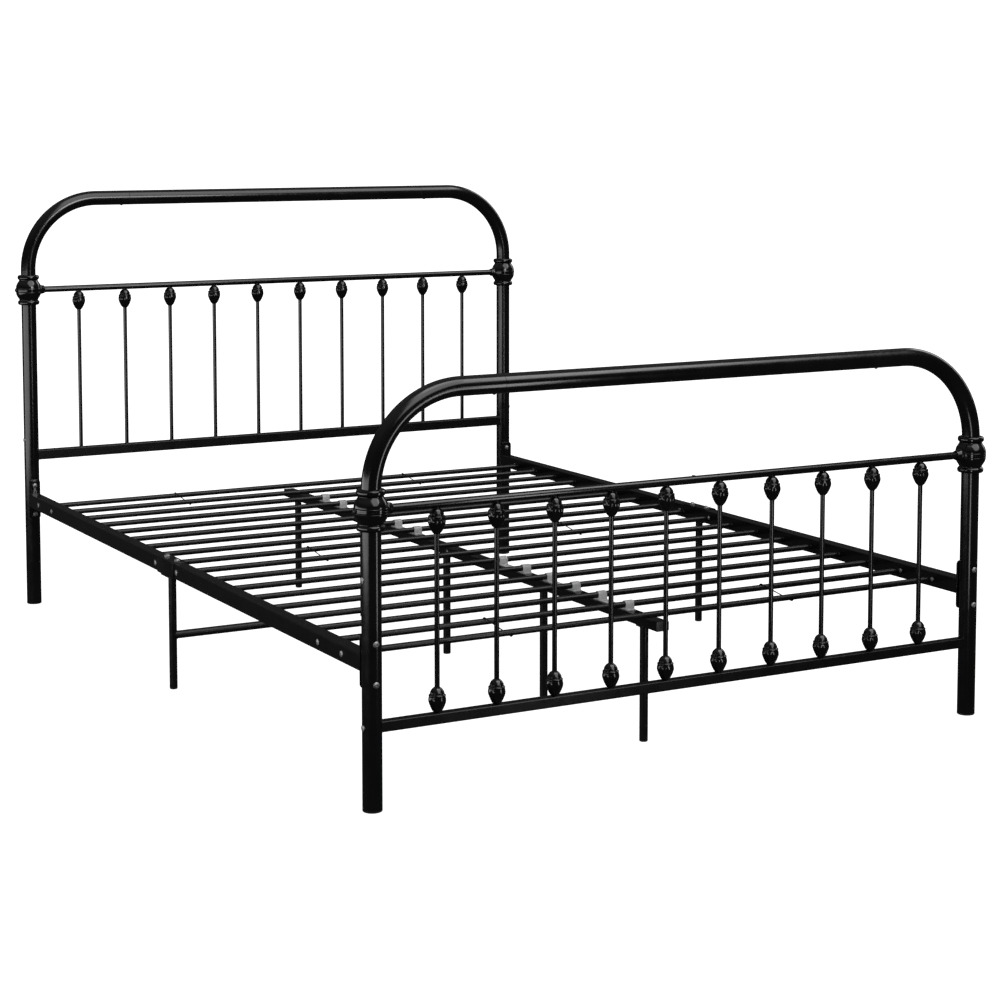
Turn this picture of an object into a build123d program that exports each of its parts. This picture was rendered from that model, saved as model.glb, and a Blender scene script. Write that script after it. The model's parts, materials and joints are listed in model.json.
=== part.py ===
from build123d import *
import os
from math import asin, cos, sin, sqrt

# Metal bed frame, in millimetres.
# Origin: on the floor, under the centre of the bed. +Z is up, +X is to the right
# for someone who stands at the foot, and +Y points to the headboard.

os.makedirs("parts", exist_ok=True)

# ---- driving dimensions: posts and arches ---------------------------------------
POST_X = 710.0                  # post centres, either side of the middle
POST_Y = 1030.0                 # headboard plane, and footboard plane at minus this
TUBE_R = 19.0                   # posts and arches
TUBE_WALL = 1.5
BEND_R = 186.0                  # centre-line radius of the arch corners
SEAM_X = 435.0                  # where the bent tubes meet the straight top tube
SEAM_SLEEVE_HALF = 40.0
SEAM_SCREW_X = 452.0
SEAM_EASE = 0.4                 # chamfer on the tube ends that meet at a seam
CAP_FLANGE = 4.0                # plastic foot under each post and leg
CAP_STEM = 14.0                 # how far its stem goes into the tube
CAP_STEM_WALL = 2.0
CAP_EASE = 2.4                  # round on the edge of its sole

HEAD = dict(y=POST_Y, top=1069.0, rod=832.0, rail=396.0, rail_half=12.5)
FOOT = dict(y=-POST_Y, top=784.0, rod=566.0, rail=159.0, rail_half=10.25)

ROD_R = 8.0
ROD_WALL = 1.2
ROD_SOCKET_X = 690.0            # where the upper rod ends inside the cast ball
KNUCKLE_PLAY = 0.15
BOSS_FROM = 30.0                # the rod's socket on the ball, from the post centre
BOSS_LENGTH = 12.0
BOSS_ROOT_R = 13.0
BOSS_TIP_R = 10.0
RAIL_WALL = 1.5
SPINDLE_R = 5.0
SPINDLE_PITCH = 127.6
SPINDLES = 10
FINIAL_HALF = 24.25             # half the height of a finial
FINIAL_GAP = 0.25               # between a finial and the rod above it

# ---- driving dimensions: side rails and deck -------------------------------------
RAIL_W = 30.0
RAIL_BOTTOM = 261.0
RAIL_TOP = 295.0
PLATE_Y = POST_Y - TUBE_R       # face of the post that the bracket plate bears on
PLATE_T = 3.0
PLATE_BOTTOM = 229.0
PLATE_TOP = 333.0
POST_BOLT_Z = (242.0, 318.0)
TONGUE_END_Y = 795.0
RAIL_BOLT_Y = (822.0, 930.0)
SIDE_BOLT_Z = 278.0
SIDE_BOLT_R = 3.0
SLEEVE_HALF = 100.0
INNER_WALL = 2.0                # wall of the tongues and of the rail sleeves
PLATE_CORNER = 8.0
RAIL_CORNER = 3.0
SLEEVE_BOLT_Y = 66.0
COVER_T = 2.0
COVER_HALF = 50.0
SADDLE_HALF = 30.0
SADDLE_T = 3.0
TOP_BOLT_Y = 31.0
FIT = 0.2                       # play between a tube and what slides inside it

SLAT_R = 6.5
SLAT_Z = 275.0
SLAT_PITCH = 108.0
SLATS_PER_HALF = 9

BEAM_X = -13.0
BEAM_W = 30.0
BEAM_BOTTOM = 243.5
BEAM_TOP = 263.5
BEAM_END_Y = 940.0
BEAM_SLEEVE_HALF = 60.0
BEAM_BOLT_Y = 27.0
BEAM_PLUG_T = 2.0
BEAM_PLUG_DEPTH = 12.0

LEG_R = 9.0
LEG_WALL = 1.2
CENTRE_LEG_X = -15.0
CENTRE_LEG_Y = (875.0, 463.0, 0.0, -463.0, -875.0)
LEG_TAB_T = 3.0
LEG_TAB_HALF = 11.0             # half the width of a leg's plate
LEG_TAB_BACK = 12.0             # how far it reaches to the foot side
LEG_TAB_REACH = 17.0            # and to the head side
CROSSBAR_Z = 123.0
CROSSBAR_END_X = -420.0

# ---- driving dimensions: screws, bolts, plugs and clips --------------------------------
POST_BOLT_R = 4.0
POST_BOLT_HEAD_R = 6.0
POST_BOLT_HEAD_H = 3.4          # how far the head stands out from the post
POST_BOLT_SADDLE = 1.2          # how far the head's rim wraps back round the post
POST_NUT_R = 6.5
POST_NUT_H = 5.5
POST_NUT_BORE = 3.5
POST_SCREW_Z = 436.0
POST_SCREW_R = 3.0
POST_SCREW_LENGTH = 8.0
POST_HEAD_R = 6.0
POST_HEAD_H = 2.0
TOP_BOLT_R = 3.0
TOP_BOLT_LENGTH = 12.0
TOP_HEAD_R = 6.5
TOP_HEAD_H = 6.0
RAIL_HEAD_R = 6.5
BEAM_HEAD_R = 5.0
BOLT_HEAD_H = 2.6               # rail and beam bolts
BOLT_TAIL = 2.0                 # how far they stand through, inside the cap nuts
RAIL_SCREW_LENGTH = 62.0        # the long screws that hold the footboard's lower rail
NUT_BLOCK_FROM = 4.0            # their nut blocks, from the face of the post
NUT_BLOCK_LENGTH = 22.0
TAB_SCREW_IN = 4.0              # its screw, in from that edge
SMALL_SCREW_R = 2.0
SMALL_HEAD_R = 3.4
SMALL_HEAD_H = 2.0
SMALL_SCREW_LENGTH = 5.0
RIM_SHARE = 0.35                # straight part of a domed head, as a share of its height
CAP_NUT_R = 5.0
CAP_NUT_H = 3.6
BUTTON_R = 5.0
BUTTON_SEAT_R = 30.0            # distances from the post centre
BUTTON_RIM_R = 35.0
BUTTON_TOP_R = 36.5
PLUG_HEAD_R = 4.0
PLUG_STEM_R = 2.5
PLUG_HEAD_H = 1.5
PLUG_STEM_LENGTH = 4.0
PLUG_X_HEAD = 0.0
PLUG_X_FOOT = -230.0
CLIP_W = 20.0
CLIP_T = 2.0
CLIP_FOOT = 6.0                 # how far a clip's strip runs past its outer saddles
CLIP_SCREW_R = 1.8
CLIP_SCREW_LENGTH = 8.0
CLIP_HEAD_R = 3.6
CLIP_HEAD_H = 2.2
LINK_R = 1.25
LINK_X = (-353.0, 325.0)
LINK_PAIRS = ((1, 2), (9, 10), (17, 18))

SIDES = dict(left=-1, right=1)
ENDS = dict(head=1, foot=-1)
X_AXIS = (1, 0, 0)
Y_AXIS = (0, 1, 0)
Z_AXIS = (0, 0, 1)


# ---- shared shapes ------------------------------------------------------------------
def cylinder(start, direction, length, radius, bore=0.0):
    """A round bar, or a tube when it has a bore, from a point along a direction."""
    section = Circle(radius)
    if bore > 0:
        section = section - Circle(bore)
    return extrude(Plane(origin=start, z_dir=direction) * section, length)


def box(low, high):
    """A block between its lowest and highest corners."""
    size = [b - a for a, b in zip(low, high)]
    middle = [(a + b) / 2 for a, b in zip(low, high)]
    return Pos(*middle) * Box(*size)


def box_tube(start, direction, length, width, height, wall, corner=2.0):
    """A closed rectangular tube; width lies across and height lies along Z."""
    plane = Plane(origin=start, x_dir=Vector(*direction).cross(Vector(*Z_AXIS)), z_dir=direction)
    outer = RectangleRounded(width, height, corner)
    inner = RectangleRounded(width - 2 * wall, height - 2 * wall, max(corner - wall, 0.4))
    return extrude(plane * (outer - inner), length)


def turned(points, centre, axis=Z_AXIS):
    """A turned piece: the profile (radius, distance along the axis) spun about the axis."""
    outline = make_face(Polyline(*[(r, h) for r, h in points], close=True))
    side = (0, 1, 0) if axis == X_AXIS or axis == (-1, 0, 0) else (1, 0, 0)
    plane = Plane(origin=centre, x_dir=side, z_dir=Vector(*side).cross(Vector(*axis)))
    return revolve(plane * outline, Axis(centre, axis), 360)


def domed(centre, axis, radius, height):
    """A shallow domed head that stands on a face at centre and bulges along axis."""
    rim = height * RIM_SHARE
    dome_r = (radius ** 2 + (height - rim) ** 2) / (2 * (height - rim))
    outline = Line((0, 0), (radius, 0))
    outline += Line((radius, 0), (radius, rim))
    outline += RadiusArc((radius, rim), (0, height), -dome_r)
    outline += Line((0, height), (0, 0))
    side = (0, 0, 1) if abs(axis[2]) < 0.5 else (1, 0, 0)
    plane = Plane(origin=centre, x_dir=side, z_dir=Vector(*side).cross(Vector(*axis)))
    return revolve(plane * make_face(outline), Axis(centre, axis), 360)


def screw(centre, axis, head_r, head_h, shank_r, shank_length):
    """A domed screw: the head stands on the face, the shank goes in behind it."""
    back = tuple(-a for a in axis)
    return domed(centre, axis, head_r, head_h) + cylinder(centre, back, shank_length, shank_r)


def save(name, *solids):
    """Write one node: a single solid, or a group of separate solids."""
    pieces = [solid for shape in solids for solid in shape.solids()]
    shape = pieces[0] if len(pieces) == 1 else Compound(children=pieces)
    export_step(shape, "parts/" + name + ".step")


# ---- headboard and footboard ---------------------------------------------------------
def post(x, board, outward):
    """One post, from its foot to the middle of the cast ball, with its bolt holes."""
    y = board["y"]
    tube = cylinder((x, y, CAP_FLANGE), Z_AXIS, board["rod"] - CAP_FLANGE, TUBE_R, TUBE_R - TUBE_WALL)
    for z in POST_BOLT_Z:
        tube -= cylinder((x, y - 2 * TUBE_R, z), Y_AXIS, 4 * TUBE_R, POST_BOLT_R)
    tube -= cylinder((x, y, POST_SCREW_Z), (outward, 0, 0), 2 * TUBE_R, POST_SCREW_R)
    if board is FOOT:
        tube -= cylinder((x - 2 * TUBE_R, y, board["rail"]), X_AXIS, 4 * TUBE_R, POST_SCREW_R)
    return tube


def eased_end(tube, end):
    """The tube with a small chamfer round its outer edge at an end, so that the seam shows."""
    rim = tube.edges().filter_by(GeomType.CIRCLE).sort_by(
        lambda edge: (edge.arc_center - Vector(*end)).length - edge.radius / TUBE_R)[0]
    return chamfer(rim, SEAM_EASE)


def bend(x, board, inward):
    """The bent tube: up from the cast ball, round the corner and along to the seam."""
    y = board["y"]
    top = board["top"]
    turn_z = top - BEND_R
    turn_x = x + inward * BEND_R
    half_turn = sqrt(0.5) * BEND_R
    start = (x, y, board["rod"])
    corner_start = (x, y, turn_z)
    corner_mid = (turn_x - inward * half_turn, y, turn_z + half_turn)
    corner_end = (turn_x, y, top)
    seam = (-inward * SEAM_X, y, top)
    path = Line(start, corner_start)
    path += ThreePointArc(corner_start, corner_mid, corner_end)
    path += Line(corner_end, seam)
    ring = Circle(TUBE_R) - Circle(TUBE_R - TUBE_WALL)
    tube = sweep(Plane(origin=start, z_dir=Z_AXIS) * ring, path)
    tube = eased_end(tube, seam)
    screw_x = -inward * SEAM_SCREW_X
    return tube - cylinder((screw_x, y, top), (0, 0, -1), 2 * TUBE_R, SMALL_SCREW_R)


def knuckle(x, board, inward):
    """The cast ball on the post, with a socket for the rod and a recess for the button."""
    bore = TUBE_R + KNUCKLE_PLAY
    half = [(bore, 39), (23.4, 39), (26.2, 37.4), (27.5, 34.6), (27.6, 31), (26.6, 27.8)]
    half += [(24.2, 26), (24.4, 24.4), (25.8, 22), (27.8, 19), (29.7, 15.6), (31.2, 12)]
    half += [(32.1, 8), (32.4, 4)]
    profile = half + [(r, -h) for r, h in reversed(half)]
    centre = (x, board["y"], board["rod"])
    ball = turned(profile, centre)
    boss = Plane(origin=centre, z_dir=(inward, 0, 0)) * Pos(0, 0, BOSS_FROM) * Cone(
        BOSS_ROOT_R, BOSS_TIP_R, BOSS_LENGTH, align=(Align.CENTER, Align.CENTER, Align.MIN))
    ball = ball + boss
    socket_start = (x + inward * (POST_X - ROD_SOCKET_X), board["y"], board["rod"])
    ball -= cylinder(socket_start, (inward, 0, 0), BOSS_FROM + BOSS_LENGTH, ROD_R)
    recess_start = (x - inward * BUTTON_SEAT_R, board["y"], board["rod"])
    return ball - cylinder(recess_start, (-inward, 0, 0), TUBE_R, BUTTON_R)


def button(x, board, inward):
    """The little round plug on the outer side of a cast ball."""
    seat = (x - inward * BUTTON_SEAT_R, board["y"], board["rod"])
    rim = (x - inward * BUTTON_RIM_R, board["y"], board["rod"])
    outward = (-inward, 0, 0)
    return cylinder(seat, outward, BUTTON_RIM_R - BUTTON_SEAT_R, BUTTON_R) + domed(
        rim, outward, BUTTON_R, BUTTON_TOP_R - BUTTON_RIM_R)


def upper_rod(board):
    """The round rod between the two cast balls."""
    y = board["y"]
    rod = cylinder((-ROD_SOCKET_X, y, board["rod"]), X_AXIS, 2 * ROD_SOCKET_X, ROD_R, ROD_R - ROD_WALL)
    if board is FOOT:
        rod -= cylinder((0, y, board["rod"]), Z_AXIS, 2 * ROD_R, PLUG_STEM_R)
    return rod


def lower_rail(board):
    """The square rail near the spindle ends, coped to fit round the posts."""
    y = board["y"]
    width = 2 * board["rail_half"]
    rail = box_tube((-POST_X, y, board["rail"]), X_AXIS, 2 * POST_X, width, width, RAIL_WALL)
    for x in (-POST_X, POST_X):
        rail -= cylinder((x, y, 0), Z_AXIS, board["top"], TUBE_R)
    plug_x = PLUG_X_HEAD if board is HEAD else PLUG_X_FOOT
    return rail - cylinder((plug_x, y, board["rail"]), (0, 0, -1), width, PLUG_STEM_R)


def spindle_places():
    """The X positions of the spindles, evenly spaced about the middle."""
    return [(k - (SPINDLES - 1) / 2) * SPINDLE_PITCH for k in range(SPINDLES)]


def spindle(x, board):
    """A round bar from the lower rail up to the rod, coped to fit under it."""
    y = board["y"]
    bottom = board["rail"] + board["rail_half"]
    bar = cylinder((x, y, bottom), Z_AXIS, board["rod"] - bottom, SPINDLE_R)
    return bar - cylinder((x - TUBE_R, y, board["rod"]), X_AXIS, 2 * TUBE_R, ROD_R)


def finial(x, board, middle_z):
    """A cast ornament that slides on a spindle: a dome, a raised ring and a taper."""
    profile = [(SPINDLE_R, FINIAL_HALF), (6.0, FINIAL_HALF), (8.2, 22), (10.4, 20), (12.6, 16.5)]
    profile += [(13.8, 14), (13.4, 12.6), (13.8, 11.4), (15.6, 10.4), (16.3, 8.6), (16.2, 6)]
    profile += [(17.1, 3), (17.4, 0), (17.1, -3), (16.3, -6), (15.4, -9), (14.0, -12)]
    profile += [(12.3, -16), (10.0, -20), (8.0, -22), (5.6, -FINIAL_HALF), (SPINDLE_R, -FINIAL_HALF)]
    return turned(profile, (x, board["y"], middle_z))


def seam_sleeve(side, board):
    """The inner sleeve that joins the bent tube to the straight top tube."""
    start = (side * (SEAM_X - SEAM_SLEEVE_HALF), board["y"], board["top"])
    outer_r = TUBE_R - TUBE_WALL - FIT
    sleeve = cylinder(start, (side, 0, 0), 2 * SEAM_SLEEVE_HALF, outer_r, outer_r - TUBE_WALL)
    hole_start = (side * SEAM_SCREW_X, board["y"], board["top"])
    return sleeve - cylinder(hole_start, (0, 0, -1), 2 * TUBE_R, SMALL_SCREW_R)


def plug(centre, axis):
    """A small plastic plug in a drain hole."""
    return screw(centre, axis, PLUG_HEAD_R, PLUG_HEAD_H, PLUG_STEM_R, PLUG_STEM_LENGTH)


def foot_cap(x, y, radius, wall):
    """A plastic foot: a flange under the tube end and a stem pressed into it."""
    flange = cylinder((x, y, 0), Z_AXIS, CAP_FLANGE, radius)
    flange = fillet(flange.edges().sort_by(Axis.Z)[0], CAP_EASE)
    stem_r = radius - wall
    return flange + cylinder((x, y, CAP_FLANGE), Z_AXIS, CAP_STEM, stem_r, stem_r - CAP_STEM_WALL)


for end, board in (("headboard", HEAD), ("footboard", FOOT)):
    for side, sign in SIDES.items():
        x = sign * POST_X
        save(end + "_" + side + "_post", post(x, board, sign))
        save(end + "_" + side + "_bend", bend(x, board, -sign))
        save(end + "_" + side + "_knuckle", knuckle(x, board, -sign))
    seams = [(x, board["y"], board["top"]) for x in (-SEAM_X, SEAM_X)]
    top_tube = cylinder(seams[0], X_AXIS, 2 * SEAM_X, TUBE_R, TUBE_R - TUBE_WALL)
    for seam in seams:
        top_tube = eased_end(top_tube, seam)
    save(end + "_top_tube", top_tube)
    save(end + "_upper_rod", upper_rod(board))
    save(end + "_lower_rail", lower_rail(board))
    save(end + "_spindles", *[spindle(x, board) for x in spindle_places()])
    finial_z = board["rod"] - ROD_R - FINIAL_GAP - FINIAL_HALF
    save(end + "_top_finials", *[finial(x, board, finial_z) for x in spindle_places()])

low_finial_z = FOOT["rail"] + FOOT["rail_half"] + FINIAL_HALF
save("footboard_bottom_finials", *[finial(x, FOOT, low_finial_z) for x in spindle_places()])

corners = [(sign, board) for board in (HEAD, FOOT) for sign in (-1, 1)]
save("knuckle_buttons", *[button(s * POST_X, b, -s) for s, b in corners])
save("arch_joint_sleeves", *[seam_sleeve(s, b) for s, b in corners])
arch_screws = []
post_screws = []
for sign, board in corners:
    under = (sign * SEAM_SCREW_X, board["y"], board["top"] - TUBE_R)
    arch_screws.append(
        screw(under, (0, 0, -1), SMALL_HEAD_R, SMALL_HEAD_H, SMALL_SCREW_R, SMALL_SCREW_LENGTH))
    face = (sign * (POST_X + TUBE_R), board["y"], POST_SCREW_Z)
    post_screws.append(
        screw(face, (sign, 0, 0), POST_HEAD_R, POST_HEAD_H, POST_SCREW_R, POST_SCREW_LENGTH))
save("arch_joint_screws", *arch_screws)
save("post_screws", *post_screws)

# The footboard's lower rail is held by a long screw through each post, in a nut block.
rail_screws = []
rail_blocks = []
block_half = FOOT["rail_half"] - RAIL_WALL - FIT
for sign in SIDES.values():
    face = (sign * (POST_X + TUBE_R), FOOT["y"], FOOT["rail"])
    rail_screws.append(
        screw(face, (sign, 0, 0), POST_HEAD_R, POST_HEAD_H, POST_SCREW_R, RAIL_SCREW_LENGTH))
    near = sign * (POST_X - TUBE_R - NUT_BLOCK_FROM)
    far = near - sign * NUT_BLOCK_LENGTH
    low = (min(near, far), FOOT["y"] - block_half, FOOT["rail"] - block_half)
    high = (max(near, far), FOOT["y"] + block_half, FOOT["rail"] + block_half)
    bore_start = (sign * POST_X, FOOT["y"], FOOT["rail"])
    rail_blocks.append(box(low, high) - cylinder(bore_start, (-sign, 0, 0), RAIL_SCREW_LENGTH, POST_SCREW_R))
save("footboard_rail_screws", *rail_screws)
save("footboard_rail_nuts", *rail_blocks)

save("drain_plugs",
     plug((0, FOOT["y"], FOOT["rod"] + ROD_R), Z_AXIS),
     plug((PLUG_X_FOOT, FOOT["y"], FOOT["rail"] - FOOT["rail_half"]), (0, 0, -1)),
     plug((PLUG_X_HEAD, HEAD["y"], HEAD["rail"] - HEAD["rail_half"]), (0, 0, -1)))
save("post_foot_caps", *[foot_cap(s * POST_X, b["y"], TUBE_R, TUBE_WALL) for s, b in corners])


# ---- side rails -------------------------------------------------------------------------
RAIL_MID_Z = (RAIL_BOTTOM + RAIL_TOP) / 2
RAIL_H = RAIL_TOP - RAIL_BOTTOM


def side_holes(x, places):
    """Bores along X for the bolts at these Y positions."""
    return [cylinder((x - RAIL_W, y, SIDE_BOLT_Z), X_AXIS, 2 * RAIL_W, SIDE_BOLT_R) for y in places]


def top_holes(x, places):
    """Bores down from above for the bolts at these Y positions."""
    return [cylinder((x, y, RAIL_MID_Z), Z_AXIS, RAIL_H, TOP_BOLT_R) for y in places]


def rail_half(x, end):
    """Half of a side rail: a rectangular tube from the middle to the bracket plate."""
    rail = box_tube((x, 0, RAIL_MID_Z), (0, end, 0), PLATE_Y - PLATE_T, RAIL_W, RAIL_H,
                    RAIL_WALL, RAIL_CORNER)
    for hole in side_holes(x, [end * y for y in (SLEEVE_BOLT_Y, *RAIL_BOLT_Y)]):
        rail -= hole
    for hole in top_holes(x, [end * TOP_BOLT_Y]):
        rail -= hole
    return rail


def rail_bracket(x, end):
    """The upright plate bolted to a post, with the tongue that the rail slides on."""
    width = RAIL_W - 2 * RAIL_WALL - 2 * FIT
    height = RAIL_H - 2 * RAIL_WALL - 2 * FIT
    face = Plane(origin=(x, end * (PLATE_Y - PLATE_T), (PLATE_BOTTOM + PLATE_TOP) / 2),
                 x_dir=X_AXIS, z_dir=(0, end, 0))
    plate = extrude(face * RectangleRounded(RAIL_W, PLATE_TOP - PLATE_BOTTOM, PLATE_CORNER), PLATE_T)
    tongue_length = PLATE_Y - PLATE_T - TONGUE_END_Y
    tongue_start = (x, end * TONGUE_END_Y, RAIL_MID_Z)
    bracket = plate + box_tube(tongue_start, (0, end, 0), tongue_length, width, height, INNER_WALL)
    for z in POST_BOLT_Z:
        bracket -= cylinder((x, end * (PLATE_Y - TUBE_R), z), (0, end, 0), 2 * TUBE_R, POST_BOLT_R)
    for hole in side_holes(x, [end * y for y in RAIL_BOLT_Y]):
        bracket -= hole
    return bracket


def mid_sleeve(x):
    """The inner tube that joins the two halves of a side rail."""
    width = RAIL_W - 2 * RAIL_WALL - 2 * FIT
    height = RAIL_H - 2 * RAIL_WALL - 2 * FIT
    sleeve = box_tube((x, -SLEEVE_HALF, RAIL_MID_Z), Y_AXIS, 2 * SLEEVE_HALF, width, height, INNER_WALL)
    for hole in side_holes(x, (-SLEEVE_BOLT_Y, SLEEVE_BOLT_Y)):
        sleeve -= hole
    for hole in top_holes(x, (-TOP_BOLT_Y, TOP_BOLT_Y)):
        sleeve -= hole
    return sleeve


def mid_cover(x, outward):
    """The folded cover over the rail joint: top and outer walls, and the leg's saddle."""
    outer = x + outward * (RAIL_W / 2)
    skin = outer + outward * COVER_T
    inner = x - outward * (RAIL_W / 2)
    walls = [((inner, RAIL_TOP), (skin, RAIL_TOP + COVER_T), COVER_HALF)]
    walls.append(((outer, RAIL_BOTTOM), (skin, RAIL_TOP), COVER_HALF))
    walls.append(((inner, RAIL_BOTTOM - SADDLE_T), (skin, RAIL_BOTTOM), SADDLE_HALF))
    cover = None
    for (xa, za), (xb, zb), half in walls:
        wall = box((min(xa, xb), -half, za), (max(xa, xb), half, zb))
        cover = wall if cover is None else cover + wall
    for hole in top_holes(x, (-TOP_BOLT_Y, TOP_BOLT_Y)):
        cover -= hole
    return cover


def leg(x, y, top):
    """A round leg tube standing on its plastic foot."""
    return cylinder((x, y, CAP_FLANGE), Z_AXIS, top - CAP_FLANGE, LEG_R, LEG_R - LEG_WALL)


for end, direction in ENDS.items():
    for side, sign in SIDES.items():
        save(side + "_rail_" + end + "_half", rail_half(sign * POST_X, direction))
    save("rail_brackets_" + end, *[rail_bracket(s * POST_X, direction) for s in SIDES.values()])
save("rail_joint_sleeves", *[mid_sleeve(s * POST_X) for s in SIDES.values()])
save("rail_joint_covers", *[mid_cover(s * POST_X, s) for s in SIDES.values()])
save("side_mid_legs", *[leg(s * POST_X, 0, RAIL_BOTTOM - SADDLE_T) for s in SIDES.values()])

post_bolts = []
post_nuts = []
for sign, board in corners:
    end = 1 if board is HEAD else -1
    for z in POST_BOLT_Z:
        centre = (sign * POST_X, board["y"] + end * TUBE_R, z)
        head_base = (centre[0], centre[1] - end * POST_BOLT_SADDLE, z)
        head = domed(head_base, (0, end, 0), POST_BOLT_HEAD_R, POST_BOLT_SADDLE + POST_BOLT_HEAD_H)
        head -= cylinder((centre[0], board["y"], 0), Z_AXIS, board["rod"], TUBE_R)
        shank = cylinder(centre, (0, -end, 0), 2 * TUBE_R + PLATE_T + POST_NUT_BORE, POST_BOLT_R)
        post_bolts.append(head + shank)
        face = (centre[0], end * (PLATE_Y - PLATE_T), z)
        nut = domed(face, (0, -end, 0), POST_NUT_R, POST_NUT_H)
        post_nuts.append(nut - cylinder(face, (0, -end, 0), POST_NUT_BORE, POST_BOLT_R))
save("post_bolts", *post_bolts)
save("post_bolt_nuts", *post_nuts)


def cap_nut(seat, axis):
    """A small domed nut that stands on a face, with a blind bore."""
    return domed(seat, axis, CAP_NUT_R, CAP_NUT_H) - cylinder(seat, axis, BOLT_TAIL, SIDE_BOLT_R)


side_bolts = []
cap_nuts = []
top_bolts = []
for sign in SIDES.values():
    outer = sign * (POST_X + RAIL_W / 2)
    inner = sign * (POST_X - RAIL_W / 2)
    for end in ENDS.values():
        for y in (SLEEVE_BOLT_Y, *RAIL_BOLT_Y):
            face = (outer, end * y, SIDE_BOLT_Z)
            side_bolts.append(
                screw(face, (sign, 0, 0), RAIL_HEAD_R, BOLT_HEAD_H, SIDE_BOLT_R, RAIL_W + BOLT_TAIL))
            cap_nuts.append(cap_nut((inner, end * y, SIDE_BOLT_Z), (-sign, 0, 0)))
        over = (sign * POST_X, end * TOP_BOLT_Y, RAIL_TOP + COVER_T)
        top_bolts.append(screw(over, Z_AXIS, TOP_HEAD_R, TOP_HEAD_H, TOP_BOLT_R, TOP_BOLT_LENGTH))
save("rail_bolts", *side_bolts)
save("rail_cover_bolts", *top_bolts)

bar_start = -POST_X
bar = cylinder((bar_start, 0, CROSSBAR_Z), X_AXIS, CROSSBAR_END_X - bar_start, LEG_R, LEG_R - LEG_WALL)
save("left_crossbar", bar - cylinder((-POST_X, 0, 0), Z_AXIS, RAIL_BOTTOM, LEG_R))


# ---- slats --------------------------------------------------------------------------------
def slat_y(k):
    """The Y of slat k, counted from 1 at the headboard."""
    return (SLATS_PER_HALF + 0.5 - k) * SLAT_PITCH


SLAT_END_X = POST_X - RAIL_W / 2
for end, first in (("head", 1), ("foot", SLATS_PER_HALF + 1)):
    slats = []
    for k in range(first, first + SLATS_PER_HALF):
        start = (-SLAT_END_X, slat_y(k), SLAT_Z)
        slats.append(cylinder(start, X_AXIS, 2 * SLAT_END_X, SLAT_R, SLAT_R - LEG_WALL))
    save("slats_" + end, *slats)


# ---- centre beam and its legs ---------------------------------------------------------------
BEAM_MID_Z = (BEAM_BOTTOM + BEAM_TOP) / 2
BEAM_H = BEAM_TOP - BEAM_BOTTOM


def beam_holes():
    """Bores along X for the two bolts of the beam joint."""
    start_x = BEAM_X - BEAM_W
    return [cylinder((start_x, y, BEAM_MID_Z), X_AXIS, 2 * BEAM_W, SIDE_BOLT_R)
            for y in (-BEAM_BOLT_Y, BEAM_BOLT_Y)]


def clip_pairs():
    """The slat pairs that a clip ties down to the beam."""
    return [(3, 4), (5, 6), (7, 8), (12, 13), (14, 15), (16, 17)]


def clip_screw_y(pair):
    """The Y of the screw between the two slats of a clip."""
    return (slat_y(pair[0]) + slat_y(pair[1])) / 2


def beam_half(end):
    """Half of the centre beam, with pilot holes for the clip screws."""
    beam = box_tube((BEAM_X, 0, BEAM_MID_Z), (0, end, 0), BEAM_END_Y, BEAM_W, BEAM_H, RAIL_WALL)
    for hole in beam_holes():
        beam -= hole
    for pair in clip_pairs():
        y = clip_screw_y(pair)
        if y * end > 0:
            beam -= cylinder((BEAM_X, y, BEAM_MID_Z), Z_AXIS, BEAM_H, CLIP_SCREW_R)
    return beam


save("beam_head_half", beam_half(1))
save("beam_foot_half", beam_half(-1))
sleeve_w = BEAM_W - 2 * RAIL_WALL - 2 * FIT
sleeve_h = BEAM_H - 2 * RAIL_WALL - 2 * FIT
beam_sleeve = box_tube((BEAM_X, -BEAM_SLEEVE_HALF, BEAM_MID_Z), Y_AXIS, 2 * BEAM_SLEEVE_HALF,
                       sleeve_w, sleeve_h, RAIL_WALL, 1.0)
for hole in beam_holes():
    beam_sleeve -= hole
save("beam_joint_sleeve", beam_sleeve)
beam_face = BEAM_X - BEAM_W / 2
save("beam_joint_bolts", *[
    screw((beam_face, y, BEAM_MID_Z), (-1, 0, 0), BEAM_HEAD_R, BOLT_HEAD_H, SIDE_BOLT_R, BEAM_W + BOLT_TAIL)
    for y in (-BEAM_BOLT_Y, BEAM_BOLT_Y)])
for y in (-BEAM_BOLT_Y, BEAM_BOLT_Y):
    cap_nuts.append(cap_nut((BEAM_X + BEAM_W / 2, y, BEAM_MID_Z), X_AXIS))
save("cap_nuts", *cap_nuts)

end_plugs = []
for end in ENDS.values():
    near = end * (BEAM_END_Y - BEAM_PLUG_DEPTH)
    face = end * BEAM_END_Y
    far = end * (BEAM_END_Y + BEAM_PLUG_T)
    stem = box((BEAM_X - sleeve_w / 2, min(near, face), BEAM_MID_Z - sleeve_h / 2),
               (BEAM_X + sleeve_w / 2, max(near, face), BEAM_MID_Z + sleeve_h / 2))
    flange = box((BEAM_X - BEAM_W / 2, min(face, far), BEAM_BOTTOM),
                 (BEAM_X + BEAM_W / 2, max(face, far), BEAM_TOP))
    end_plugs.append(flange + stem)
save("beam_end_plugs", *end_plugs)

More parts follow.
